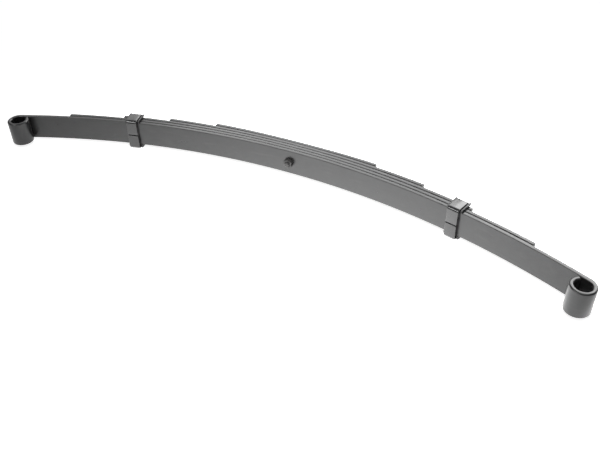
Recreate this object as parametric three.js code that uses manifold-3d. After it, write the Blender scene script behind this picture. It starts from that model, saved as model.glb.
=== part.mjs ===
// A five-leaf semi-elliptic spring, lying on the lower edges of its two clips. Millimetres, +Z up.
// X runs along the spring, the leaf widths run along Z, and the hollow side and both eyes face -Y.
// A place on the spring is given by s, its distance from the centre bolt along the hollow face of
// the main leaf, and by its offset from that face towards the outside of the arch (+Y).
import * as THREE from "three";
import { mergeVertices } from "three/addons/utils/BufferGeometryUtils.js";
import Module from "manifold-3d";

// Leaves
const LEAF_WIDTH = 50.8;
const LEAF_THICKNESS = 7.8;
const ARCH_RADIUS = 1380; // hollow face of the main leaf
const LEAF_NAMES = ["main_leaf", "second_leaf", "third_leaf", "fourth_leaf", "fifth_leaf"];
const FRONT_LENGTHS = [593, 489, 374, 277, 178]; // from the bolt; the first ends at the eye centre
const REAR_LENGTHS = [600, 494, 370, 268, 166];
const SEAT_GAP = 0.35; // between two leaves at the centre bolt
const TIP_GAP = 1.6; // between two leaves at the tip of the shorter one, where its pad sits
const FACET_LENGTH = 26;
const LEAF_CHAMFER = 1.8;

// Eyes, rolled from the ends of the main leaf
const EYE_OUTER_RADIUS = 21.5;
const EYE_INNER_RADIUS = EYE_OUTER_RADIUS - LEAF_THICKNESS;
const EYE_TIP_GAP = 0.6; // between the end of the roll and the hollow face
const EYE_FACETS = 24;

// Centre bolt, with its round locating head on the shortest leaf and its nut in the hollow
const BOLT_RADIUS = 4.8;
const BOLT_HOLE_RADIUS = 5.3;
const BOLT_HEAD_RADIUS = 9.5;
const BOLT_HEAD_HEIGHT = 8;
const BOLT_END = 3.5; // thread past the nut
const NUT_ACROSS_FLATS = 17;
const NUT_HEIGHT = 8;
const NUT_BORE_RADIUS = 5.1;

// Clips
const CLIP_STATION = 348;
const CLIPPED_LEAVES = 3; // the clip is riveted to the third leaf and wraps the first three
const STRAP_WIDTH = 22.2;
const STRAP_WALL = 4;
const STRAP_BEND_RADIUS = 6.5;
const STRAP_MOUTH = 2; // between the two bent-over tabs
const STRAP_MOUTH_LEVEL = 24; // middle of the mouth above the leaves' lower edges
const LINER_WIDTH = 30; // over the leaf edges; over the hollow face it is as wide as the strap
const LINER_WALL = 1.8;
const LINER_LIP_WIDTH = 3;
const LINER_LIP_HEIGHT = 2.6; // outside the web, over the leaf edges; the lower lips reach the floor
const LINER_CORNER = 1.6; // cut off its outer corners
const LOWER_SLACK = 2; // extra room between liner and strap under the leaves
const RIVET_RADIUS = 4;
const RIVET_HOLE_RADIUS = 4.4;
const RIVET_HEAD_RADIUS = 8;
const RIVET_HEAD_HEIGHT = 4.5;

// Tip pads
const PAD_LENGTH = 34;
const PAD_SETBACK = 4; // from the leaf's tip to the pad
const PAD_MARGIN = 2; // from the leaf's edges to the pad's

const CLEARANCE = 0.3; // between touching pieces
const ROUND = 24; // sides of bolts, rivets and their holes
const OVERSHOOT = 5; // how far a cutter passes the faces it cuts
const MID_WIDTH = LEAF_WIDTH / 2;

const SPRING_PAINT = { color: 0x1b1c1e, roughness: 0.45, metalness: 0.2 };
const CLIP_PAINT = { color: 0x141516, roughness: 0.3, metalness: 0.3 };
const BOLT_STEEL = { color: 0x2a2b2d, roughness: 0.4, metalness: 0.8 };
const PLASTIC = { color: 0x101011, roughness: 0.6, metalness: 0 };

const wasm = await Module();
wasm.setup();

function toSolid(geometry) {
  const bare = geometry.clone();
  bare.deleteAttribute("normal");
  bare.deleteAttribute("uv");
  const merged = mergeVertices(bare, 1e-4);
  return new wasm.Manifold(
    new wasm.Mesh({
      numProp: 3,
      vertProperties: new Float32Array(merged.attributes.position.array),
      triVerts: new Uint32Array(merged.index.array),
    }),
  );
}

function toGeometry(solid) {
  const { vertProperties, triVerts } = solid.getMesh();
  const geometry = new THREE.BufferGeometry();
  geometry.setAttribute("position", new THREE.BufferAttribute(vertProperties, 3));
  geometry.setIndex(new THREE.BufferAttribute(triVerts, 1));
  geometry.computeVertexNormals();
  return geometry;
}

function cut(geometry, ...cutters) {
  const left = cutters.reduce((body, cutter) => body.subtract(toSolid(cutter)), toSolid(geometry));
  return toGeometry(left);
}

function join(...geometries) {
  return toGeometry(geometries.map(toSolid).reduce((body, other) => body.add(other)));
}

function addPiece(group, name, geometry, look) {
  const piece = new THREE.Mesh(geometry, new THREE.MeshStandardMaterial(look));
  piece.name = name;
  group.add(piece);
}

// The point at s and offset, in the plane of the side profile.
function onSpring(s, offset) {
  const angle = s / ARCH_RADIUS;
  const radius = ARCH_RADIUS + offset;
  return new THREE.Vector2(radius * Math.sin(angle), radius * Math.cos(angle) - ARCH_RADIUS);
}

// How far leaf i reaches from the bolt, towards the front for a negative side.
function halfLength(i, side) {
  return side < 0 ? FRONT_LENGTHS[i] : REAR_LENGTHS[i];
}

// The gap between leaf i and the longer leaf inside it, which opens towards the tip.
function gapInside(i, s) {
  const opening = THREE.MathUtils.smoothstep(Math.abs(s), 0, halfLength(i, s));
  return THREE.MathUtils.lerp(SEAT_GAP, TIP_GAP, opening);
}

// The offset of the inner face of leaf i.
function innerOffset(i, s) {
  let offset = 0;
  for (let leaf = 1; leaf <= i; leaf++) {
    offset += LEAF_THICKNESS + gapInside(leaf, s);
  }
  return offset;
}

function outerOffset(i, s) {
  return innerOffset(i, s) + LEAF_THICKNESS;
}

// All leaves share these facet corners, so their faces stay parallel.
function facetCorners(from, to) {
  const corners = [from];
  const first = Math.floor(from / FACET_LENGTH) - 1;
  const last = Math.ceil(to / FACET_LENGTH) + 1;
  for (let n = first; n <= last; n++) {
    const s = (n + 0.5) * FACET_LENGTH;
    if (s > from + 1 && s < to - 1) {
      corners.push(s);
    }
  }
  corners.push(to);
  return corners;
}

// The side profile between two offsets.
function band(from, to, low, high) {
  const corners = facetCorners(from, to);
  const inside = corners.map((s) => onSpring(s, low(s)));
  const outside = corners.map((s) => onSpring(s, high(s)));
  return new THREE.Shape([...inside, ...outside.reverse()]);
}

// A side profile raised along Z, with its long edges chamfered.
function raise(shape, low, high, chamfer) {
  const geometry = new THREE.ExtrudeGeometry(shape, {
    depth: high - low - 2 * chamfer,
    bevelEnabled: chamfer > 0,
    bevelThickness: chamfer,
    bevelSize: chamfer,
    bevelOffset: -chamfer,
    bevelSegments: 1,
  });
  return geometry.translate(0, 0, low + chamfer);
}

// A round cutter along the outward direction at s.
function holeAt(s, radius) {
  const length = outerOffset(LEAF_NAMES.length - 1, 0) + 2 * OVERSHOOT;
  const hole = new THREE.CylinderGeometry(radius, radius, length, ROUND);
  hole.translate(0, length / 2 - OVERSHOOT, MID_WIDTH);
  return hole.applyMatrix4(stationMatrix(s));
}

// The frame at s: x along the leaf, y outwards, z along the width.
function stationMatrix(s) {
  const place = onSpring(s, 0);
  const matrix = new THREE.Matrix4().makeRotationZ(-s / ARCH_RADIUS);
  return matrix.setPosition(place.x, place.y, 0);
}

// One eye: side is 1 at the rear and -1 at the front, and the turn starts at the leaf.
function eyeArc(side, radius) {
  const reach = halfLength(0, side);
  const angle = reach / ARCH_RADIUS;
  const outward = new THREE.Vector2(side * Math.sin(angle), Math.cos(angle));
  const along = new THREE.Vector2(side * Math.cos(angle), -Math.sin(angle));
  const centre = onSpring(side * reach, -EYE_INNER_RADIUS);
  const unrolled = Math.acos((EYE_INNER_RADIUS - EYE_TIP_GAP) / EYE_OUTER_RADIUS);
  const sweep = 2 * Math.PI - unrolled;
  const points = [];
  for (let n = 1; n <= EYE_FACETS; n++) {
    const turn = (sweep * n) / EYE_FACETS;
    const point = centre.clone();
    point.addScaledVector(outward, radius * Math.cos(turn));
    point.addScaledVector(along, radius * Math.sin(turn));
    points.push(point);
  }
  return points;
}

function mainLeafProfile() {
  const corners = facetCorners(-FRONT_LENGTHS[0], REAR_LENGTHS[0]);
  const hollow = corners.map((s) => onSpring(s, 0));
  const back = corners.map((s) => onSpring(s, LEAF_THICKNESS));
  return new THREE.Shape([
    ...back,
    ...eyeArc(1, EYE_OUTER_RADIUS),
    ...eyeArc(1, EYE_INNER_RADIUS).reverse(),
    ...hollow.reverse(),
    ...eyeArc(-1, EYE_INNER_RADIUS),
    ...eyeArc(-1, EYE_OUTER_RADIUS).reverse(),
  ]);
}

function shortLeafProfile(i) {
  return band(
    -FRONT_LENGTHS[i],
    REAR_LENGTHS[i],
    (s) => innerOffset(i, s),
    (s) => outerOffset(i, s),
  );
}

function addLeaves(spring) {
  LEAF_NAMES.forEach((name, i) => {
    const profile = i === 0 ? mainLeafProfile() : shortLeafProfile(i);
    const holes = [holeAt(0, BOLT_HOLE_RADIUS)];
    if (i === CLIPPED_LEAVES - 1) {
      holes.push(holeAt(-CLIP_STATION, RIVET_HOLE_RADIUS), holeAt(CLIP_STATION, RIVET_HOLE_RADIUS));
    }
    addPiece(spring, name, cut(raise(profile, 0, LEAF_WIDTH, LEAF_CHAMFER), ...holes), SPRING_PAINT);
  });
}

// Turned about the outward axis from (radius, offset) points.
function turned(points) {
  const profile = points.map(([radius, offset]) => new THREE.Vector2(radius, offset));
  return new THREE.LatheGeometry(profile, ROUND).translate(0, 0, MID_WIDTH);
}

function addCentreBolt(spring) {
  const headSeat = outerOffset(LEAF_NAMES.length - 1, 0) + CLEARANCE;
  const nutSeat = -CLEARANCE;
  const bolt = turned([
    [0, nutSeat - NUT_HEIGHT - BOLT_END],
    [BOLT_RADIUS - 1, nutSeat - NUT_HEIGHT - BOLT_END],
    [BOLT_RADIUS, nutSeat - NUT_HEIGHT - BOLT_END + 1],
    [BOLT_RADIUS, headSeat],
    [BOLT_HEAD_RADIUS, headSeat],
    [BOLT_HEAD_RADIUS, headSeat + BOLT_HEAD_HEIGHT - 1],
    [BOLT_HEAD_RADIUS - 1, headSeat + BOLT_HEAD_HEIGHT],
    [0, headSeat + BOLT_HEAD_HEIGHT],
  ]);
  addPiece(spring, "centre_bolt", bolt, BOLT_STEEL);

  const corner = NUT_ACROSS_FLATS / Math.sqrt(3);
  const nut = new THREE.CylinderGeometry(corner, corner, NUT_HEIGHT, 6);
  const bore = new THREE.CylinderGeometry(NUT_BORE_RADIUS, NUT_BORE_RADIUS, 2 * NUT_HEIGHT, ROUND);
  const drilled = cut(nut, bore).translate(0, nutSeat - NUT_HEIGHT / 2, MID_WIDTH);
  addPiece(spring, "centre_bolt_nut", drilled, BOLT_STEEL);
}

// A section drawn in the plane across the leaf (outward, width), swept along the leaf.
function sweepAlong(section, length) {
  const geometry = new THREE.ExtrudeGeometry(section, {
    depth: length,
    bevelEnabled: false,
    curveSegments: 2,
  });
  geometry.translate(0, 0, -length / 2);
  const turn = new THREE.Matrix4().makeBasis(
    new THREE.Vector3(0, 1, 0),
    new THREE.Vector3(0, 0, 1),
    new THREE.Vector3(1, 0, 0),
  );
  return geometry.applyMatrix4(turn);
}

// The rounded strap section: box is the strap's outer size, open at the mouth in front.
function strapSection({ front, back, low, high }) {
  const bend = STRAP_BEND_RADIUS;
  const inner = bend - STRAP_WALL;
  const quarter = Math.PI / 2;
  const mouthLow = STRAP_MOUTH_LEVEL - STRAP_MOUTH / 2;
  const mouthHigh = STRAP_MOUTH_LEVEL + STRAP_MOUTH / 2;
  const section = new THREE.Shape();
  section.moveTo(front, mouthHigh);
  section.absarc(front + bend, high - bend, bend, 2 * quarter, quarter, true);
  section.absarc(back - bend, high - bend, bend, quarter, 0, true);
  section.absarc(back - bend, low + bend, bend, 0, -quarter, true);
  section.absarc(front + bend, low + bend, bend, -quarter, -2 * quarter, true);
  section.lineTo(front, mouthLow);
  section.lineTo(front + STRAP_WALL, mouthLow);
  section.absarc(front + bend, low + bend, inner, -2 * quarter, -quarter, false);
  section.absarc(back - bend, low + bend, inner, -quarter, 0, false);
  section.absarc(back - bend, high - bend, inner, 0, quarter, false);
  section.absarc(front + bend, high - bend, inner, quarter, 2 * quarter, false);
  section.lineTo(front + STRAP_WALL, mouthHigh);
  return section;
}

// The liner section: a channel over the hollow face and both edges, open at the back.
// Its outer faces are given, so the web and the lips share one inner channel.
function linerSection({ front, back, low, high }) {
  const top = LEAF_WIDTH + CLEARANCE;
  const bottom = -CLEARANCE;
  const section = new THREE.Shape();
  section.moveTo(back, top);
  section.lineTo(-CLEARANCE, top);
  section.lineTo(-CLEARANCE, bottom);
  section.lineTo(back, bottom);
  section.lineTo(back, low);
  section.lineTo(front + LINER_CORNER, low);
  section.lineTo(front, low + LINER_CORNER);
  section.lineTo(front, high - LINER_CORNER);
  section.lineTo(front + LINER_CORNER, high);
  section.lineTo(back, high);
  return section;
}

function addClip(spring, end, s) {
  const clip = new THREE.Group();
  clip.applyMatrix4(stationMatrix(s));
  spring.add(clip);

  const stack = outerOffset(CLIPPED_LEAVES - 1, s);
  const room = LINER_WALL + 2 * CLEARANCE;
  const strapBox = {
    front: -room - STRAP_WALL,
    back: stack + CLEARANCE + STRAP_WALL,
    low: -room - LOWER_SLACK - STRAP_WALL,
    high: LEAF_WIDTH + room + STRAP_WALL,
  };
  const rivetHole = new THREE.CylinderGeometry(
    RIVET_HOLE_RADIUS,
    RIVET_HOLE_RADIUS,
    2 * (STRAP_WALL + OVERSHOOT),
    ROUND,
  );
  rivetHole.translate(0, stack, MID_WIDTH);
  const strap = cut(sweepAlong(strapSection(strapBox), STRAP_WIDTH), rivetHole);
  addPiece(clip, end + "_clip_strap", strap, CLIP_PAINT);

  const web = linerSection({
    front: -CLEARANCE - LINER_WALL,
    back: stack - STRAP_BEND_RADIUS + STRAP_WALL,
    low: -CLEARANCE - LINER_WALL,
    high: LEAF_WIDTH + CLEARANCE + LINER_WALL,
  });
  const lipSection = linerSection({
    front: -CLEARANCE - LINER_WALL,
    back: stack + STRAP_WALL,
    low: strapBox.low,
    high: LEAF_WIDTH + CLEARANCE + LINER_WALL + LINER_LIP_HEIGHT,
  });
  const lip = sweepAlong(lipSection, LINER_LIP_WIDTH);
  const lipPlace = (LINER_WIDTH - LINER_LIP_WIDTH) / 2;
  const whole = join(
    sweepAlong(web, LINER_WIDTH),
    lip.clone().translate(-lipPlace, 0, 0),
    lip.clone().translate(lipPlace, 0, 0),
  );
  const reliefDepth = LINER_WALL + CLEARANCE;
  const relief = new THREE.BoxGeometry(LINER_WIDTH, 2 * reliefDepth, 2 * LEAF_WIDTH);
  const reliefPlace = (STRAP_WIDTH + LINER_WIDTH) / 2;
  const liner = cut(
    whole,
    relief.clone().translate(-reliefPlace, -reliefDepth, MID_WIDTH),
    relief.clone().translate(reliefPlace, -reliefDepth, MID_WIDTH),
  );
  addPiece(clip, end + "_clip_liner", liner, PLASTIC);

  const headSeat = stack + STRAP_WALL + 2 * CLEARANCE;
  const rivet = turned([
    [0, innerOffset(CLIPPED_LEAVES - 1, s) + CLEARANCE],
    [RIVET_RADIUS, innerOffset(CLIPPED_LEAVES - 1, s) + CLEARANCE],
    [RIVET_RADIUS, headSeat],
    [RIVET_HEAD_RADIUS, headSeat],
    [RIVET_HEAD_RADIUS * 0.94, headSeat + RIVET_HEAD_HEIGHT * 0.45],
    [RIVET_HEAD_RADIUS * 0.6, headSeat + RIVET_HEAD_HEIGHT * 0.86],
    [0, headSeat + RIVET_HEAD_HEIGHT],
  ]);
  addPiece(clip, end + "_clip_rivet", rivet, CLIP_PAINT);
}

// The pad under the tip of leaf i, between it and the longer leaf.
function padProfile(i, side) {
  const tip = halfLength(i, side) - PAD_SETBACK;
  const ends = [side * tip, side * (tip - PAD_LENGTH)].sort((a, b) => a - b);
  return band(
    ends[0],
    ends[1],
    (s) => innerOffset(i, s) - gapInside(i, s) + CLEARANCE,
    (s) => innerOffset(i, s) - CLEARANCE,
  );
}

function addTipPads(spring, end, side) {
  for (let i = 1; i < LEAF_NAMES.length; i++) {
    const pad = raise(padProfile(i, side), PAD_MARGIN, LEAF_WIDTH - PAD_MARGIN, 0);
    addPiece(spring, end + "_tip_pad_" + (i + 1), pad, PLASTIC);
  }
}

const spring = new THREE.Group();
addLeaves(spring);
addCentreBolt(spring);
for (const [end, side] of [["front", -1], ["rear", 1]]) {
  addClip(spring, end, side * CLIP_STATION);
  addTipPads(spring, end, side);
}

// The origin is under the middle of the spring's box, on the surface that it lies on.
spring.updateMatrixWorld(true);
const box = new THREE.Box3().setFromObject(spring);
const middle = box.getCenter(new THREE.Vector3());
spring.position.set(-middle.x, -middle.y, -box.min.z);

export default spring;
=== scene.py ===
"""A five-leaf automotive leaf spring on a white studio floor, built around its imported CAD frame.

Lengths are in metres, in the CAD frame: X runs along the spring, Z along the leaf widths, and the
hollow side faces -Y. A place on the spring is s, the distance from the centre bolt along the main
leaf's hollow face, with an offset from that face towards the outside of the arch.
"""
import math

import bpy
from mathutils import Euler, Matrix, Vector


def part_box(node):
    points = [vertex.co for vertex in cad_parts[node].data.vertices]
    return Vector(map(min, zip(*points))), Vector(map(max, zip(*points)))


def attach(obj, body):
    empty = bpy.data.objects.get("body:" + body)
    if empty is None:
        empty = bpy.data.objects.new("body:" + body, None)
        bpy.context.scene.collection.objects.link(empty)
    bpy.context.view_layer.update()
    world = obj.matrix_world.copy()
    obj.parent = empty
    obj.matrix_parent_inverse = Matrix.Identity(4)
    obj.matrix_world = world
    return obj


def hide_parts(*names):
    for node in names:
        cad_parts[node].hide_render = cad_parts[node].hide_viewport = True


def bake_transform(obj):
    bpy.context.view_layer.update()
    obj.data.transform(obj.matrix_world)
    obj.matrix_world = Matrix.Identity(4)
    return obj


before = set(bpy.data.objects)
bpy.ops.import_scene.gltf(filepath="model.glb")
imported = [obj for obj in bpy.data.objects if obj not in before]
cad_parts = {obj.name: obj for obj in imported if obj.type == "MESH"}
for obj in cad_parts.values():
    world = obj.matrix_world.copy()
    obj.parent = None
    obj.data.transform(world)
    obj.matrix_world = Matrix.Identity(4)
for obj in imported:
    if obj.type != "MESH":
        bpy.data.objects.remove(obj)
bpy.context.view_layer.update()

MM = 0.001
UP = Vector((0, 0, 1))
ENDS = (("front", -1), ("rear", 1))

# Leaves, as the CAD source has them.
LEAVES = ("main_leaf", "second_leaf", "third_leaf", "fourth_leaf", "fifth_leaf")
FRONT_LENGTHS = (593 * MM, 489 * MM, 374 * MM, 277 * MM, 178 * MM)
REAR_LENGTHS = (600 * MM, 494 * MM, 370 * MM, 268 * MM, 166 * MM)
LEAF_THICKNESS = 7.8 * MM
ARCH_RADIUS = 1380 * MM
SEAT_GAP = 0.35 * MM
TIP_GAP = 1.6 * MM
EYE_OUTER_RADIUS = 21.5 * MM
EYE_INNER_RADIUS = EYE_OUTER_RADIUS - LEAF_THICKNESS
EYE_TIP_GAP = 0.6 * MM
LEAF_EDGE_RADIUS = 1.2 * MM
LEAF_TIP_RADIUS = 0.8 * MM
EYE_EDGE_RADIUS = 2.9 * MM
LEAF_STEP = 6 * MM
EYE_STEPS = 72
EYE_EDGE_STEPS = 20

# Where the leaves would bend: rigid with the centre inside the first, rigid with the arm past the
# second. blend_half only works out points at these stations and uses none of them, so nothing here
# bends.
BEND_START = 40 * MM
BEND_END = 330 * MM

# Clips
CLIP_STATION = 348 * MM
CLIPPED_LEAVES = 3
STRAP_WIDTH = 22.2 * MM
STRAP_WALL = 4 * MM
STRAP_BEND_RADIUS = 6.5 * MM
STRAP_EDGE_RADIUS = 1.0 * MM
STRAP_MOUTH = 2 * MM
STRAP_MOUTH_LEVEL = 24 * MM
STRAP_BEND_STEPS = 10
LINER_WIDTH = 30 * MM
LINER_WALL = 1.8 * MM
LINER_LIP_WIDTH = 3 * MM
LINER_LIP_HEIGHT = 2.6 * MM
LINER_CORNER = 1.6 * MM
LINER_EDGE_RADIUS = 0.5 * MM
LINER_INNER_CHAMFER = 0.8 * MM
LINER_CORNER_STEPS = 5
LINER_OVERLAP = 1 * MM
LOWER_SLACK = 2 * MM
RIVET_RADIUS = 4 * MM
RIVET_END_CHAMFER = 0.4 * MM
RIVET_HEAD_RADIUS = 8 * MM
RIVET_HEAD_HEIGHT = 4.5 * MM
RIVET_DOME_STEPS = 8
RIVET_DOME_DEGREES = (5, 85)

# Centre bolt
BOLT_RADIUS = 4.8 * MM
BOLT_HEAD_RADIUS = 9.5 * MM
BOLT_HEAD_HEIGHT = 8 * MM
BOLT_HEAD_EDGE = 0.9 * MM
BOLT_HEAD_FOOT = 0.3 * MM
BOLT_HEAD_DIMPLE = 0.4 * MM
BOLT_END = 3.5 * MM
BOLT_LEAD = 1.1 * MM
BOLT_STEPS = 48
THREAD_PITCH = 1.5 * MM
THREAD_DEPTH = 0.6 * MM
THREAD_PAST_SEAT = 2 * MM
THREAD_RUNOUT = 0.3 * MM
THREAD_ROWS = 60
NUT_ACROSS_FLATS = 17 * MM
NUT_HEIGHT = 8 * MM
NUT_BORE_RADIUS = 5.1 * MM
NUT_BORE_CHAMFER = 0.7 * MM
NUT_CROWN_SHARE = 0.955
NUT_CHAMFER_DEGREES = 30
NUT_STEPS = 72

# Tip pads
PAD_LENGTH = 34 * MM
PAD_SETBACK = 4 * MM
PAD_MARGIN = 2 * MM
PAD_EDGE_RADIUS = 0.4 * MM
PAD_STEPS = 8

CLEARANCE = 0.3 * MM

# Camera, with its angles in degrees
CAMERA_PLACE = (0.5535, -0.9704, 0.7925)
CAMERA_PITCH = 51.907
CAMERA_ROLL = -0.9125
CAMERA_YAW = 27.497
CAMERA_LENS = 42.411

# Light. Each softbox has a name, a place, the point it faces, its size and its radiance.
FLOOR_HALF_SIZE = 30
FLOOR_GLOW = 0.88
WORLD_SEEN = 1.0
WORLD_LIT = 0.15
SPOT_PLACE = (0.25, -0.5, 1.7)
SPOT_AIM = (0.13, -0.1, 0)
SPOT_ENERGY = 480
SPOT_DEGREES = 44
SPOT_SOFT_SIZE = 0.3
SOFTBOXES = (
    ("above", (0.8, -0.1, 2.2), (0.5, 0, 0), (1.6, 1.1), 3.0),
    ("right", (0.6, 2.0, 1.55), (0, 0, 0), (1.5, 1.4), 7.6),
    ("middle", (-0.9, 2.0, 1.55), (0, 0, 0), (1.5, 1.4), 4.2),
    ("left", (-2.4, 2.0, 1.55), (0, 0, 0), (1.5, 1.4), 1.4),
    ("front", (-0.8, -1.3, 1.4), (0, 0, 0), (1.6, 0.36), 14.0),
)

# The frame gives where the spring lies.
LEAF_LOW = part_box("main_leaf")[0].z
LEAF_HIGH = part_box("main_leaf")[1].z
LEAF_WIDTH = LEAF_HIGH - LEAF_LOW
MID_WIDTH = (LEAF_LOW + LEAF_HIGH) / 2
HOLLOW_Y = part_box("centre_bolt_nut")[1].y + CLEARANCE
BOLT_X = (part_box("centre_bolt")[0].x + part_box("centre_bolt")[1].x) / 2


# Places on the spring


def smoothstep(value):
    value = min(max(value, 0.0), 1.0)
    return value * value * (3 - 2 * value)


def on_spring(s, offset):
    """The point at s and offset, in the plane z = 0."""
    angle = s / ARCH_RADIUS
    radius = ARCH_RADIUS + offset
    x = BOLT_X + radius * math.sin(angle)
    return Vector((x, HOLLOW_Y + radius * math.cos(angle) - ARCH_RADIUS, 0))


def outward(s):
    angle = s / ARCH_RADIUS
    return Vector((math.sin(angle), math.cos(angle), 0))


def along(s):
    angle = s / ARCH_RADIUS
    return Vector((math.cos(angle), -math.sin(angle), 0))


def half_length(leaf, side):
    """How far a leaf reaches from the bolt, towards the front for a negative side."""
    return (FRONT_LENGTHS if side < 0 else REAR_LENGTHS)[leaf]


def gap_inside(leaf, s):
    """The gap between a leaf and the longer leaf inside it."""
    return SEAT_GAP + (TIP_GAP - SEAT_GAP) * smoothstep(abs(s) / half_length(leaf, s))


def inner_offset(leaf, s):
    return sum(LEAF_THICKNESS + gap_inside(n, s) for n in range(1, leaf + 1))


def station(s):
    """The frame at s: x along the leaf, y outwards, z along the width from the leaves' low edges."""
    place = on_spring(s, 0)
    axes = Matrix((along(s), outward(s), UP)).transposed().to_4x4()
    return Matrix.Translation((place.x, place.y, LEAF_LOW)) @ axes


# Meshes


class Shape:
    """Points and faces that several closed shells add to."""

    def __init__(self):
        self.points = []
        self.faces = []

    def add_rings(self, rings, close=False):
        """A skin through rings of points, with flat ends unless it closes on itself."""
        base = len(self.points)
        count = len(rings[0])
        for ring in rings:
            self.points.extend(Vector(point) for point in ring)
        rows = len(rings)
        for row in range(rows if close else rows - 1):
            here = base + row * count
            there = base + (row + 1) % rows * count
            for column in range(count):
                after = (column + 1) % count
                self.faces.append((here + column, here + after, there + after, there + column))
        if not close:
            last = base + (rows - 1) * count
            self.faces.append(tuple(base + column for column in reversed(range(count))))
            self.faces.append(tuple(last + column for column in range(count)))

    def place(self, matrix):
        self.points = [matrix @ point for point in self.points]
        return self

    def make(self, name, sharp_degrees=38):
        mesh = bpy.data.meshes.new(name)
        mesh.from_pydata([tuple(point) for point in self.points], [], self.faces)
        mesh.validate()
        turn_outwards(mesh)
        mesh.polygons.foreach_set("use_smooth", [True] * len(mesh.polygons))
        mesh.set_sharp_from_angle(angle=math.radians(sharp_degrees))
        piece = bpy.data.objects.new(name, mesh)
        bpy.context.scene.collection.objects.link(piece)
        return piece


def turn_outwards(mesh):
    mesh.calc_loop_triangles()
    volume = 0.0
    for triangle in mesh.loop_triangles:
        a, b, c = (mesh.vertices[i].co for i in triangle.vertices)
        volume += a.dot(b.cross(c))
    if volume < 0:
        mesh.flip_normals()


def rounded_box(width, height, radius, corner_steps):
    """The outline of a box about the origin with round corners, counterclockwise."""
    radius = min(radius, width / 2 - 1e-6, height / 2 - 1e-6)
    points = []
    for quarter, (side, level) in enumerate(((1, 1), (-1, 1), (-1, -1), (1, -1))):
        for step in range(corner_steps + 1):
            angle = math.pi / 2 * (quarter + step / corner_steps)
            x = side * (width / 2 - radius) + radius * math.cos(angle)
            y = level * (height / 2 - radius) + radius * math.sin(angle)
            points.append((x, y))
    return points


def bar_rings(stops, thickness, width, radius, round_first, round_last, corner_steps=5):
    """Rings of a bar with rounded edges along stops, each (point, across, up).

    The bar is as thick as thickness along across and as wide as width along up. thickness and
    radius may be lists with one entry for each stop. round_first and round_last are radii of its
    end edges.
    """
    rings = []
    end_steps = 4

    def ring(n, inset, advance):
        point, across, up = stops[n]
        thick = thickness[n] if isinstance(thickness, list) else thickness
        edge = radius[n] if isinstance(radius, list) else radius
        corner = max(edge - inset, 0.1 * edge)
        section = rounded_box(thick - 2 * inset, width - 2 * inset, corner, corner_steps)
        rings.append([point + advance + across * x + up * y for x, y in section])

    def end(n, neighbour, size):
        inwards = (stops[neighbour][0] - stops[n][0]).normalized()
        for step in range(end_steps + 1):
            angle = math.pi / 2 * step / end_steps
            ring(n, size * (1 - math.sin(angle)), inwards * size * (1 - math.cos(angle)))

    count = len(stops)
    if round_first:
        end(0, 1, round_first)
    else:
        ring(0, 0, Vector())
    for n in range(1, count - 1):
        ring(n, 0, Vector())
    if round_last:
        before = rings
        rings = []
        end(count - 1, count - 2, round_last)
        rings = before + rings[::-1]
    else:
        ring(count - 1, 0, Vector())
    return rings


def turned_rings(profile, steps=48):
    """Rings of a solid turned about Y from (radius, y) points."""
    rings = []
    for radius, y in profile:
        ring = []
        for step in range(steps):
            angle = 2 * math.pi * step / steps
            ring.append(Vector((radius * math.cos(angle), y, radius * math.sin(angle))))
        rings.append(ring)
    return rings


# Leaves and pads


def leaf_stops(leaf, side):
    """Stops along one half of a leaf, from the centre bolt to its tip or round its eye."""
    reach = half_length(leaf, side)
    count = round(reach / LEAF_STEP)
    stops = []
    for n in range(count + 1):
        s = side * reach * n / count
        middle = inner_offset(leaf, s) + LEAF_THICKNESS / 2
        point = on_spring(s, middle)
        stops.append((Vector((point.x, point.y, MID_WIDTH)), outward(s), UP))
    if leaf == 0:
        stops.extend(eye_stops(side))
    return stops


def eye_stops(side):
    s = side * half_length(0, side)
    centre = on_spring(s, -EYE_INNER_RADIUS)
    middle = (EYE_INNER_RADIUS + EYE_OUTER_RADIUS) / 2
    unrolled = math.acos((EYE_INNER_RADIUS - EYE_TIP_GAP) / EYE_OUTER_RADIUS)
    stops = []
    for n in range(1, EYE_STEPS + 1):
        turn = (2 * math.pi - unrolled) * n / EYE_STEPS
        radial = outward(s) * math.cos(turn) + along(s) * (side * math.sin(turn))
        point = centre + radial * middle
        stops.append((Vector((point.x, point.y, MID_WIDTH)), radial, UP))
    return stops


def blend_half(piece, side):
    start = on_spring(side * BEND_START, LEAF_THICKNESS)
    finish = on_spring(side * BEND_END, LEAF_THICKNESS)
    start.z = finish.z = MID_WIDTH
    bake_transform(piece)


def add_leaves(material):
    for leaf, name in enumerate(LEAVES):
        for end, side in ENDS:
            shape = Shape()
            stops = leaf_stops(leaf, side)
            edges = [LEAF_EDGE_RADIUS] * len(stops)
            if leaf == 0:
                for n in range(EYE_STEPS):
                    growth = smoothstep(n / EYE_EDGE_STEPS)
                    edges[n - EYE_STEPS] += (EYE_EDGE_RADIUS - LEAF_EDGE_RADIUS) * growth
            shape.add_rings(
                bar_rings(stops, LEAF_THICKNESS, LEAF_WIDTH, edges, 0, LEAF_TIP_RADIUS)
            )
            piece = shape.make(f"{name}_{end}_half")
            piece.data.materials.append(material)
            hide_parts(name)
            blend_half(piece, side)


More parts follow.
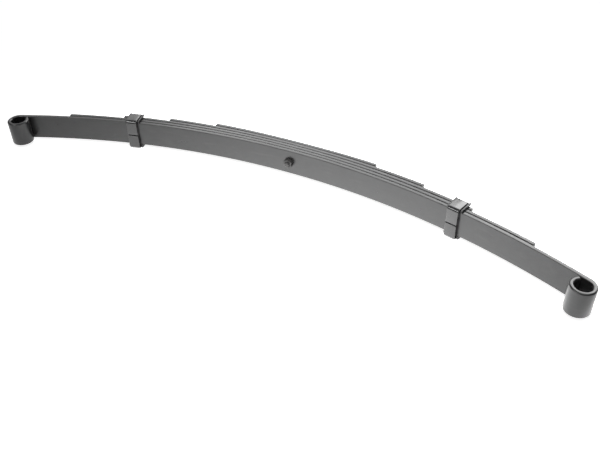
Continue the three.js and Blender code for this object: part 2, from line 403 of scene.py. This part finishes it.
def add_pads(material):
    for leaf in range(1, len(LEAVES)):
        for end, side in ENDS:
            node = f"{end}_tip_pad_{leaf + 1}"
            tip = half_length(leaf, side) - PAD_SETBACK
            stops = []
            thickness = []
            for n in range(PAD_STEPS + 1):
                s = side * (tip - PAD_LENGTH * n / PAD_STEPS)
                gap = gap_inside(leaf, s)
                point = on_spring(s, inner_offset(leaf, s) - gap / 2)
                stops.append((Vector((point.x, point.y, MID_WIDTH)), outward(s), UP))
                thickness.append(gap - 2 * CLEARANCE)
            shape = Shape()
            width = LEAF_WIDTH - 2 * PAD_MARGIN
            shape.add_rings(
                bar_rings(stops, thickness, width, PAD_EDGE_RADIUS, PAD_EDGE_RADIUS,
                          PAD_EDGE_RADIUS, corner_steps=3)
            )
            piece = shape.make(f"{node}_moulded")
            piece.data.materials.append(material)
            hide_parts(node)
            if leaf >= CLIPPED_LEAVES:
                blend_half(piece, side)
            else:
                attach(piece, end + "_arm")


# Centre bolt and nut, turned about Y


def hexagon_radius(angle, across_flats):
    third = math.pi / 3
    return across_flats / 2 / math.cos((angle + third / 2) % third - third / 2)


def add_nut(material):
    seat = HOLLOW_Y - CLEARANCE
    face = seat - NUT_HEIGHT
    crown = NUT_ACROSS_FLATS / 2 * NUT_CROWN_SHARE
    slope = math.tan(math.radians(NUT_CHAMFER_DEGREES))
    outline = (
        ("bore", NUT_BORE_RADIUS, seat - NUT_BORE_CHAMFER),
        ("bore", NUT_BORE_RADIUS + NUT_BORE_CHAMFER, seat),
        ("crown", crown, seat),
        ("wall", 1, seat),
        ("wall", -1, face),
        ("crown", crown, face),
        ("bore", NUT_BORE_RADIUS + NUT_BORE_CHAMFER, face),
        ("bore", NUT_BORE_RADIUS, face + NUT_BORE_CHAMFER),
    )
    rings = []
    for kind, value, y in outline:
        ring = []
        for step in range(NUT_STEPS):
            angle = 2 * math.pi * step / NUT_STEPS
            radius = value
            level = y
            if kind == "wall":
                radius = hexagon_radius(angle, NUT_ACROSS_FLATS)
                level = y - value * max(radius - crown, 0) * slope
            ring.append(Vector((radius * math.cos(angle), level, radius * math.sin(angle))))
        rings.append(ring)
    shape = Shape()
    shape.add_rings(rings, close=True)
    shape.place(Matrix.Translation((BOLT_X, 0, MID_WIDTH)))
    piece = shape.make("centre_bolt_hex_nut", sharp_degrees=22)
    piece.data.materials.append(material)
    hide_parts("centre_bolt_nut")
    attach(piece, "centre")


def add_bolt(material):
    seat = HOLLOW_Y - CLEARANCE
    end = seat - NUT_HEIGHT - BOLT_END
    head = HOLLOW_Y + inner_offset(len(LEAVES) - 1, 0) + LEAF_THICKNESS + CLEARANCE
    rings = []
    thread_top = seat + THREAD_PAST_SEAT
    for row in range(THREAD_ROWS + 1):
        y = end + (thread_top - end) * row / THREAD_ROWS
        ring = []
        for step in range(BOLT_STEPS):
            turn = step / BOLT_STEPS
            wave = abs(((y / THREAD_PITCH - turn) % 1) * 2 - 1)
            radius = BOLT_RADIUS - THREAD_DEPTH * wave
            radius = min(radius, BOLT_RADIUS - BOLT_LEAD + (y - end))
            angle = 2 * math.pi * turn
            ring.append(Vector((radius * math.cos(angle), y, radius * math.sin(angle))))
        rings.append(ring)
    first_radius = BOLT_RADIUS - BOLT_LEAD - THREAD_DEPTH
    # The end's low dome: shares of its radius, and heights in millimetres.
    dome = [(0.25, 0.32), (0.55, 0.27), (0.82, 0.14)]
    tip = turned_rings([(first_radius * r, end - h * MM) for r, h in dome], BOLT_STEPS)
    head_end = head + BOLT_HEAD_HEIGHT
    shank = turned_rings(
        [
            (BOLT_RADIUS, thread_top + THREAD_RUNOUT),
            (BOLT_RADIUS, head),
            (BOLT_HEAD_RADIUS - BOLT_HEAD_FOOT, head),
            (BOLT_HEAD_RADIUS, head + BOLT_HEAD_FOOT),
            (BOLT_HEAD_RADIUS, head_end - BOLT_HEAD_EDGE),
            (BOLT_HEAD_RADIUS - 0.3 * BOLT_HEAD_EDGE, head_end - 0.3 * BOLT_HEAD_EDGE),
            (BOLT_HEAD_RADIUS - BOLT_HEAD_EDGE, head_end),
            (BOLT_HEAD_RADIUS * 0.45, head_end),
            (BOLT_HEAD_RADIUS * 0.38, head_end - BOLT_HEAD_DIMPLE),
        ],
        BOLT_STEPS,
    )
    shape = Shape()
    shape.add_rings(tip + rings + shank)
    shape.place(Matrix.Translation((BOLT_X, 0, MID_WIDTH)))
    piece = shape.make("centre_bolt_threaded", sharp_degrees=34)
    piece.data.materials.append(material)
    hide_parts("centre_bolt")
    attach(piece, "centre")


# Clips


def corner_arc(centre, radius, first_degrees, last_degrees):
    turn = last_degrees - first_degrees
    points = []
    for step in range(STRAP_BEND_STEPS + 1):
        angle = math.radians(first_degrees + turn * step / STRAP_BEND_STEPS)
        direction = Vector((0, math.cos(angle), math.sin(angle)))
        points.append((centre + direction * radius, direction))
    return points


def strap_stops(front, back, low, high):
    """Stops of the strap's middle line, from the upper tab's end round to the lower tab's end."""
    radius = STRAP_BEND_RADIUS - STRAP_WALL / 2
    near = front + STRAP_BEND_RADIUS
    far = back - STRAP_BEND_RADIUS
    top = high - STRAP_BEND_RADIUS
    bottom = low + STRAP_BEND_RADIUS
    outwards = Vector((0, -1, 0))
    line = front + STRAP_WALL / 2
    path = [(Vector((0, line, STRAP_MOUTH_LEVEL + STRAP_MOUTH / 2)), outwards)]
    path += corner_arc(Vector((0, near, top)), radius, 180, 90)
    path += corner_arc(Vector((0, far, top)), radius, 90, 0)
    path += corner_arc(Vector((0, far, bottom)), radius, 0, -90)
    path += corner_arc(Vector((0, near, bottom)), radius, -90, -180)
    path.append((Vector((0, line, STRAP_MOUTH_LEVEL - STRAP_MOUTH / 2)), outwards))
    sideways = Vector((1, 0, 0))
    return [(point, across, sideways) for point, across in path]


def channel(front, back, low, high, corner):
    """The liner's section: a channel over the hollow face and both edges, open at the back."""
    top = LEAF_WIDTH + CLEARANCE
    bottom = -CLEARANCE
    inner = LINER_INNER_CHAMFER
    outline = [
        (back, top),
        (-CLEARANCE + inner, top),
        (-CLEARANCE, top - inner),
        (-CLEARANCE, bottom + inner),
        (-CLEARANCE + inner, bottom),
        (back, bottom),
        (back, low),
    ]
    for level, first in ((low + corner, 270), (high - corner, 180)):
        for step in range(LINER_CORNER_STEPS + 1):
            angle = math.radians(first - 90 * step / LINER_CORNER_STEPS)
            y = front + corner + corner * math.cos(angle)
            outline.append((y, level + corner * math.sin(angle)))
    outline.append((back, high))
    return outline


def add_block(shape, low, high):
    """One block of the liner, with round edges, between two corners in a station's frame."""
    radius = LINER_EDGE_RADIUS
    stops = []
    for x in (low[0], high[0]):
        middle = Vector((x, (low[1] + high[1]) / 2, (low[2] + high[2]) / 2))
        stops.append((middle, Vector((0, 1, 0)), UP))
    shape.add_rings(
        bar_rings(stops, high[1] - low[1], high[2] - low[2], radius, radius, radius, corner_steps=3)
    )


def add_liner(end, place, stack, low, plastic):
    """A channel as wide as the strap, with wider flanges over the leaf edges that end in lips."""
    shape = Shape()
    web_half = STRAP_WIDTH / 2
    half = LINER_WIDTH / 2
    web_back = stack - STRAP_BEND_RADIUS + STRAP_WALL
    top = LEAF_WIDTH + CLEARANCE
    bottom = -CLEARANCE
    web = channel(-CLEARANCE - LINER_WALL, web_back, bottom - LINER_WALL, top + LINER_WALL,
                  LINER_CORNER)
    shape.add_rings([[Vector((x, y, z)) for y, z in web] for x in (-web_half, web_half)])
    # Beside the strap the liner starts level with the hollow face.
    inside = 0
    reach = web_half - LINER_OVERLAP
    for first, last in ((-half, -reach), (reach, half)):
        add_block(shape, (first, inside, top), (last, web_back, top + LINER_WALL))
        add_block(shape, (first, inside, bottom - LINER_WALL), (last, web_back, bottom))
    lip_back = stack + STRAP_WALL
    lip_top = top + LINER_WALL + LINER_LIP_HEIGHT
    for first in (-half, half - LINER_LIP_WIDTH):
        last = first + LINER_LIP_WIDTH
        add_block(shape, (first, inside, top), (last, lip_back, lip_top))
        add_block(shape, (first, inside, low), (last, lip_back, bottom))
    liner = shape.place(place).make(f"{end}_clip_liner_moulded")
    liner.data.materials.append(plastic)
    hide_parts(f"{end}_clip_liner")
    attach(liner, f"{end}_arm")


def add_clip(end, side, paint, plastic):
    s = side * CLIP_STATION
    place = station(s)
    stack = inner_offset(CLIPPED_LEAVES - 1, s) + LEAF_THICKNESS
    room = LINER_WALL + 2 * CLEARANCE
    front = -room - STRAP_WALL
    back = stack + CLEARANCE + STRAP_WALL
    low = -room - LOWER_SLACK - STRAP_WALL
    high = LEAF_WIDTH + room + STRAP_WALL

    shape = Shape()
    shape.add_rings(
        bar_rings(strap_stops(front, back, low, high), STRAP_WALL, STRAP_WIDTH,
                  STRAP_EDGE_RADIUS, STRAP_EDGE_RADIUS, STRAP_EDGE_RADIUS, corner_steps=4)
    )
    strap = shape.place(place).make(f"{end}_clip_strap_bent")
    strap.data.materials.append(paint)
    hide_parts(f"{end}_clip_strap")
    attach(strap, f"{end}_arm")

    add_liner(end, place, stack, low, plastic)

    inside = inner_offset(CLIPPED_LEAVES - 1, s) + CLEARANCE
    add_rivet(end, place, inside, stack + STRAP_WALL + 2 * CLEARANCE, paint)


def add_rivet(end, place, inside, head, paint):
    """A rivet from the inside of the third leaf to a domed head on the strap's back."""
    profile = [
        (RIVET_RADIUS - RIVET_END_CHAMFER, inside),
        (RIVET_RADIUS, inside + RIVET_END_CHAMFER),
        (RIVET_RADIUS, head),
    ]
    first, last = RIVET_DOME_DEGREES
    for step in range(RIVET_DOME_STEPS + 1):
        angle = math.radians(first + (last - first) * step / RIVET_DOME_STEPS)
        y = head + RIVET_HEAD_HEIGHT * math.sin(angle)
        profile.append((RIVET_HEAD_RADIUS * math.cos(angle), y))
    shape = Shape()
    shape.add_rings(turned_rings(profile))
    shape.place(Matrix.Translation((0, 0, LEAF_WIDTH / 2)))
    rivet = shape.place(place).make(f"{end}_clip_rivet_domed")
    rivet.data.materials.append(paint)
    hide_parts(f"{end}_clip_rivet")
    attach(rivet, f"{end}_arm")


# Materials


class Nodes:
    """A material's node tree with short calls to add nodes."""

    def __init__(self, name):
        self.material = bpy.data.materials.new(name)
        self.material.use_nodes = True
        self.tree = self.material.node_tree
        self.shader = self.tree.nodes["Principled BSDF"]
        self.place = self.add("ShaderNodeTexCoord").outputs["Object"]

    def add(self, kind, **settings):
        node = self.tree.nodes.new(kind)
        for key, value in settings.items():
            setattr(node, key, value)
        return node

    def link(self, source, target):
        self.tree.links.new(source, target)

    def noise(self, scale, detail, roughness, stretch=None):
        node = self.add("ShaderNodeTexNoise")
        node.inputs["Scale"].default_value = scale
        node.inputs["Detail"].default_value = detail
        node.inputs["Roughness"].default_value = roughness
        source = self.place
        if stretch:
            mapping = self.add("ShaderNodeMapping")
            mapping.inputs["Scale"].default_value = stretch
            self.link(source, mapping.inputs["Vector"])
            source = mapping.outputs["Vector"]
        self.link(source, node.inputs["Vector"])
        return node.outputs["Fac"]

    def ramp(self, source, *stops):
        node = self.add("ShaderNodeValToRGB")
        elements = node.color_ramp.elements
        while len(elements) < len(stops):
            elements.new(0.5)
        for element, (position, value) in zip(elements, stops):
            element.position = position
            colour = value if isinstance(value, tuple) else (value, value, value)
            element.color = (*colour, 1)
        self.link(source, node.inputs["Fac"])
        return node.outputs["Color"]

    def mix(self, factor, first, second):
        node = self.add("ShaderNodeMix", data_type="RGBA")
        sockets = node.inputs
        if isinstance(factor, float):
            sockets[0].default_value = factor
        else:
            self.link(factor, sockets[0])
        for value, socket in ((first, sockets[6]), (second, sockets[7])):
            if isinstance(value, tuple):
                socket.default_value = (*value, 1)
            else:
                self.link(value, socket)
        return node.outputs[2]

    def bump(self, height, strength, distance, before=None):
        node = self.add("ShaderNodeBump")
        node.inputs["Strength"].default_value = strength
        node.inputs["Distance"].default_value = distance
        self.link(height, node.inputs["Height"])
        if before:
            self.link(before, node.inputs["Normal"])
        return node.outputs["Normal"]

    def set(self, **values):
        for key, value in values.items():
            self.shader.inputs[SOCKETS[key]].default_value = value

    def finish(self, colour, roughness, normal):
        self.link(colour, self.shader.inputs["Base Color"])
        self.link(roughness, self.shader.inputs["Roughness"])
        self.link(normal, self.shader.inputs["Normal"])
        return self.material


SOCKETS = {
    "ior": "IOR",
    "metallic": "Metallic",
    "specular": "Specular IOR Level",
    "glow": "Emission Strength",
}


def leaf_paint():
    nodes = Nodes("leaf_paint_black")
    mottle = nodes.noise(scale=38, detail=4, roughness=0.6)
    streaks = nodes.noise(scale=120, detail=3, roughness=0.55, stretch=(0.12, 1, 1))
    fine = nodes.noise(scale=900, detail=2, roughness=0.5)
    patches = nodes.ramp(mottle, (0.3, 0.0), (0.7, 1.0))
    colour = nodes.mix(patches, (0.005, 0.0051, 0.0053), (0.009, 0.0091, 0.0093))
    dust = nodes.ramp(streaks, (0.56, 0.0), (0.72, 0.5))
    colour = nodes.mix(dust, colour, (0.016, 0.0159, 0.0156))
    roughness = nodes.ramp(nodes.mix(0.4, mottle, streaks), (0.3, 0.26), (0.7, 0.36))
    dents = nodes.noise(scale=260, detail=2, roughness=0.5)
    coarse = nodes.bump(dents, strength=0.25, distance=0.0004)
    normal = nodes.bump(fine, strength=0.12, distance=0.0001, before=coarse)
    nodes.set(ior=1.53)
    return nodes.finish(colour, roughness, normal)


def clip_paint():
    nodes = Nodes("clip_paint_gloss_black")
    mottle = nodes.noise(scale=70, detail=3, roughness=0.5)
    colour = nodes.mix(mottle, (0.005, 0.0051, 0.0053), (0.010, 0.010, 0.0103))
    roughness = nodes.ramp(mottle, (0.3, 0.16), (0.7, 0.26))
    dents = nodes.noise(scale=420, detail=2, roughness=0.5)
    normal = nodes.bump(dents, strength=0.2, distance=0.0003)
    nodes.set(ior=1.6)
    return nodes.finish(colour, roughness, normal)


def bolt_steel():
    nodes = Nodes("bolt_black_oxide")
    mottle = nodes.noise(scale=300, detail=4, roughness=0.6)
    colour = nodes.mix(mottle, (0.02, 0.02, 0.022), (0.06, 0.058, 0.056))
    roughness = nodes.ramp(mottle, (0.3, 0.3), (0.7, 0.48))
    grain = nodes.noise(scale=900, detail=2, roughness=0.5)
    normal = nodes.bump(grain, strength=0.2, distance=0.0002)
    nodes.set(metallic=0.7)
    return nodes.finish(colour, roughness, normal)


def moulded_plastic(name, dark, light, low_rough, high_rough):
    nodes = Nodes(name)
    mottle = nodes.noise(scale=150, detail=3, roughness=0.5)
    colour = nodes.mix(mottle, dark, light)
    roughness = nodes.ramp(mottle, (0.3, low_rough), (0.7, high_rough))
    grain = nodes.noise(scale=1500, detail=2, roughness=0.5)
    normal = nodes.bump(grain, strength=0.3, distance=0.0001)
    return nodes.finish(colour, roughness, normal)


# Floor, light and camera


def add_floor():
    size = FLOOR_HALF_SIZE
    mesh = bpy.data.meshes.new("studio_floor")
    corners = [(-size, -size, 0), (size, -size, 0), (size, size, 0), (-size, size, 0)]
    mesh.from_pydata(corners, [], [(0, 1, 2, 3)])
    floor = bpy.data.objects.new("studio_floor", mesh)
    bpy.context.scene.collection.objects.link(floor)
    nodes = Nodes("floor_white")
    clouds = nodes.noise(scale=2, detail=2, roughness=0.5)
    colour = nodes.mix(clouds, (0.80, 0.80, 0.80), (0.82, 0.82, 0.82))
    scuffs = nodes.noise(scale=3, detail=2, roughness=0.5)
    roughness = nodes.ramp(scuffs, (0.3, 0.85), (0.7, 0.9))
    grain = nodes.noise(scale=200, detail=2, roughness=0.5)
    nodes.finish(colour, roughness, nodes.bump(grain, strength=0.02, distance=0.0002))
    nodes.set(specular=0.1, glow=FLOOR_GLOW)
    nodes.shader.inputs["Emission Color"].default_value = (1, 1, 1, 1)
    mesh.materials.append(nodes.material)


def add_lamp(name, light, place, aim):
    lamp = bpy.data.objects.new(name, light)
    lamp.location = place
    lamp.rotation_euler = (Vector(aim) - Vector(place)).to_track_quat("-Z", "Y").to_euler()
    bpy.context.scene.collection.objects.link(lamp)
    return lamp


def add_softbox(name, place, aim, size, radiance):
    """A box of light that is seen only in reflections, equally bright from everywhere."""
    light = bpy.data.lights.new(name, "AREA")
    light.shape = "RECTANGLE"
    light.size, light.size_y = size
    light.energy = radiance * math.pi * size[0] * size[1]
    lamp = add_lamp(name, light, place, aim)
    lamp.visible_diffuse = False
    lamp.visible_camera = False


def add_floor_spot():
    """A soft pool of light on the floor around the right half, which the hollow faces mirror."""
    light = bpy.data.lights.new("floor_spot", "SPOT")
    light.energy = SPOT_ENERGY
    light.spot_size = math.radians(SPOT_DEGREES)
    light.spot_blend = 1.0
    light.shadow_soft_size = SPOT_SOFT_SIZE
    add_lamp("floor_spot", light, SPOT_PLACE, SPOT_AIM).visible_glossy = False


def add_world():
    """A room that looks white to the camera and lights the part more dimly."""
    world = bpy.data.worlds.new("studio_air")
    world.use_nodes = True
    tree = world.node_tree
    background = tree.nodes["Background"]
    background.inputs["Color"].default_value = (1, 1, 1, 1)
    path = tree.nodes.new("ShaderNodeLightPath")
    strength = tree.nodes.new("ShaderNodeMapRange")
    strength.inputs["To Min"].default_value = WORLD_LIT
    strength.inputs["To Max"].default_value = WORLD_SEEN
    tree.links.new(path.outputs["Is Camera Ray"], strength.inputs["Value"])
    tree.links.new(strength.outputs["Result"], background.inputs["Strength"])
    bpy.context.scene.world = world


def add_camera():
    data = bpy.data.cameras.new("camera")
    data.sensor_width = 36
    data.lens = CAMERA_LENS
    data.clip_end = 100
    camera = bpy.data.objects.new("camera", data)
    pitch, roll, yaw = (math.radians(angle) for angle in (CAMERA_PITCH, CAMERA_ROLL, CAMERA_YAW))
    turn = Euler((pitch, 0, yaw)).to_matrix() @ Matrix.Rotation(roll, 3, "Z")
    camera.matrix_world = Matrix.Translation(CAMERA_PLACE) @ turn.to_4x4()
    bpy.context.scene.collection.objects.link(camera)
    bpy.context.scene.camera = camera


add_leaves(leaf_paint())
clip_material = clip_paint()
liner_material = moulded_plastic(
    "liner_plastic_satin", (0.01, 0.01, 0.0103), (0.018, 0.018, 0.0184), 0.4, 0.5
)
pad_material = moulded_plastic(
    "pad_plastic_matt", (0.012, 0.012, 0.012), (0.02, 0.02, 0.02), 0.6, 0.75
)
for end_name, end_side in ENDS:
    add_clip(end_name, end_side, clip_material, liner_material)
add_pads(pad_material)
steel = bolt_steel()
add_nut(steel)
add_bolt(steel)

add_floor()
add_world()
add_floor_spot()
for box_name, box_place, box_aim, box_size, box_radiance in SOFTBOXES:
    add_softbox("softbox_" + box_name, box_place, box_aim, box_size, box_radiance)
add_camera()
bpy.context.scene.view_settings.view_transform = "Standard"
